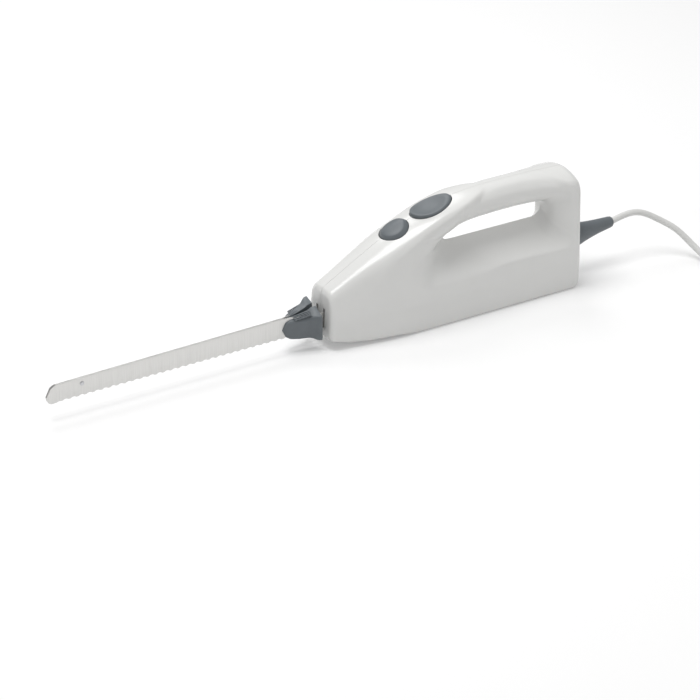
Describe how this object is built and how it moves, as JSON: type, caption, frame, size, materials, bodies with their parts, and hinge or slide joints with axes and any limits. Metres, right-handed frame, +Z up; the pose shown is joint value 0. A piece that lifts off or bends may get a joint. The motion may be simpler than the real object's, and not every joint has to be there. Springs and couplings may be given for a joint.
{
  "type": "electric carving knife",
  "caption": "Corded electric carving knife with two reciprocating serrated blades, a loop handle, a top trigger and a blade release button.",
  "frame": {"origin": "on the table plane under the housing's flat underside, in the plane where the two housing halves meet", "axes": "+Z up, blades point to -X, cord leaves at +X, y = 0 is the joint plane of the housing halves"},
  "size_m": [0.676, 0.1281, 0.104],
  "materials": {
    "housing_white": "gloss white moulded plastic",
    "control_grey": "satin blue-grey plastic",
    "blade_steel": "brushed stainless steel",
    "screw_steel": "zinc plated steel",
    "spring_steel": "spring steel",
    "core_steel": "varnished laminations",
    "copper": "enamelled copper wire",
    "brass": "turned brass",
    "frame_plastic": "black glass-filled plastic",
    "gear_plastic": "natural acetal",
    "carbon": "carbon",
    "lead_brown": "wire insulation",
    "cord_white": "white flexible cord sheath",
    "tie_white": "nylon tie"
  },
  "bodies": {
    "housing": {"shell_left": "housing_white", "shell_right": "housing_white", "housing_screws": "screw_steel", "gear_frame": "frame_plastic", "frame_screws": "screw_steel", "switch_deck": "screw_steel", "gear_axle": "screw_steel", "stator_core": "core_steel", "field_coils": "copper", "front_bearing": "brass", "rear_bearing": "brass", "rear_bracket": "frame_plastic", "motor_bolts": "screw_steel", "brush_holders": "brass", "carbon_brushes": "carbon", "trigger_pin": "screw_steel", "microswitch": "frame_plastic", "release_spring": "spring_steel", "trigger_spring": "spring_steel", "capacitor": "lead_brown", "strain_relief": "control_grey", "cord_end": "cord_white", "cord_clamp": "frame_plastic", "clamp_screws": "screw_steel", "inner_leads": "lead_brown", "mains_cord": "cord_white", "cord_coil": "cord_white", "cord_tie": "tie_white", "cord_tail": "cord_white", "plug_body": "cord_white", "plug_pins": "brass"},
    "armature": {"armature_shaft": "screw_steel", "armature_core": "core_steel", "armature_windings": "copper", "commutator": "copper", "cooling_fan": "frame_plastic", "worm": "brass"},
    "drive": {"drive_gear": "gear_plastic", "eccentric_left": "gear_plastic", "eccentric_right": "gear_plastic"},
    "left_carrier": {"carrier_left": "frame_plastic", "catch_left": "spring_steel"},
    "right_carrier": {"carrier_right": "frame_plastic", "catch_right": "spring_steel"},
    "left_blade": {"blade_left": "blade_steel", "blade_stud": "blade_steel", "tab_left": "control_grey"},
    "right_blade": {"blade_right": "blade_steel", "tab_right": "control_grey"},
    "trigger": {"trigger": "control_grey"},
    "plunger": {"switch_plunger": "frame_plastic"},
    "release": {"release_button": "control_grey", "release_fork": "frame_plastic"}
  },
  "joints": [
    {"name": "armature_spin", "type": "hinge", "parent": "housing", "child": "armature", "pos_m": [0, 0, 0.025], "axis": [1, 0, 0], "continuous": true},
    {"name": "gear_spin", "type": "hinge", "parent": "housing", "child": "drive", "pos_m": [-0.053, 0, 0.044], "axis": [0, 1, 0], "continuous": true},
    {"name": "left_carrier_slide", "type": "slide", "parent": "housing", "child": "left_carrier", "axis": [1, 0, 0], "range_m": [-0.003, 0.003]},
    {"name": "right_carrier_slide", "type": "slide", "parent": "housing", "child": "right_carrier", "axis": [1, 0, 0], "range_m": [-0.003, 0.003]},
    {"name": "left_blade_release", "type": "slide", "parent": "left_carrier", "child": "left_blade", "axis": [-1, 0, 0], "range_m": [0, 0.05]},
    {"name": "right_blade_release", "type": "slide", "parent": "right_carrier", "child": "right_blade", "axis": [-1, 0, 0], "range_m": [0, 0.05]},
    {"name": "trigger_press", "type": "hinge", "parent": "housing", "child": "trigger", "pos_m": [-0.008, 0, 0.091], "axis": [0, -1, 0], "range_deg": [0, 3], "stiffness_Nm_per_rad": 2, "springref_deg": -3.44, "deforming": ["trigger_spring"]},
    {"name": "plunger_travel", "type": "slide", "parent": "housing", "child": "plunger", "axis": [0, 0, -1], "range_m": [0, 0.0022]},
    {"name": "release_press", "type": "slide", "parent": "housing", "child": "release", "axis": [0.4384, 0, -0.8988], "range_m": [0, 0.003], "stiffness_N_per_m": 600, "springref_m": -0.002, "deforming": ["release_spring"]}
  ],
  "couplings": [
    {"joint": "gear_spin", "follows": "armature_spin", "ratio": 0.05},
    {"joint": "right_carrier_slide", "follows": "left_carrier_slide", "ratio": -1},
    {"joint": "right_blade_release", "follows": "left_blade_release", "ratio": 1},
    {"joint": "plunger_travel", "follows": "trigger_press", "m_per_rad": 0.04}
  ]
}
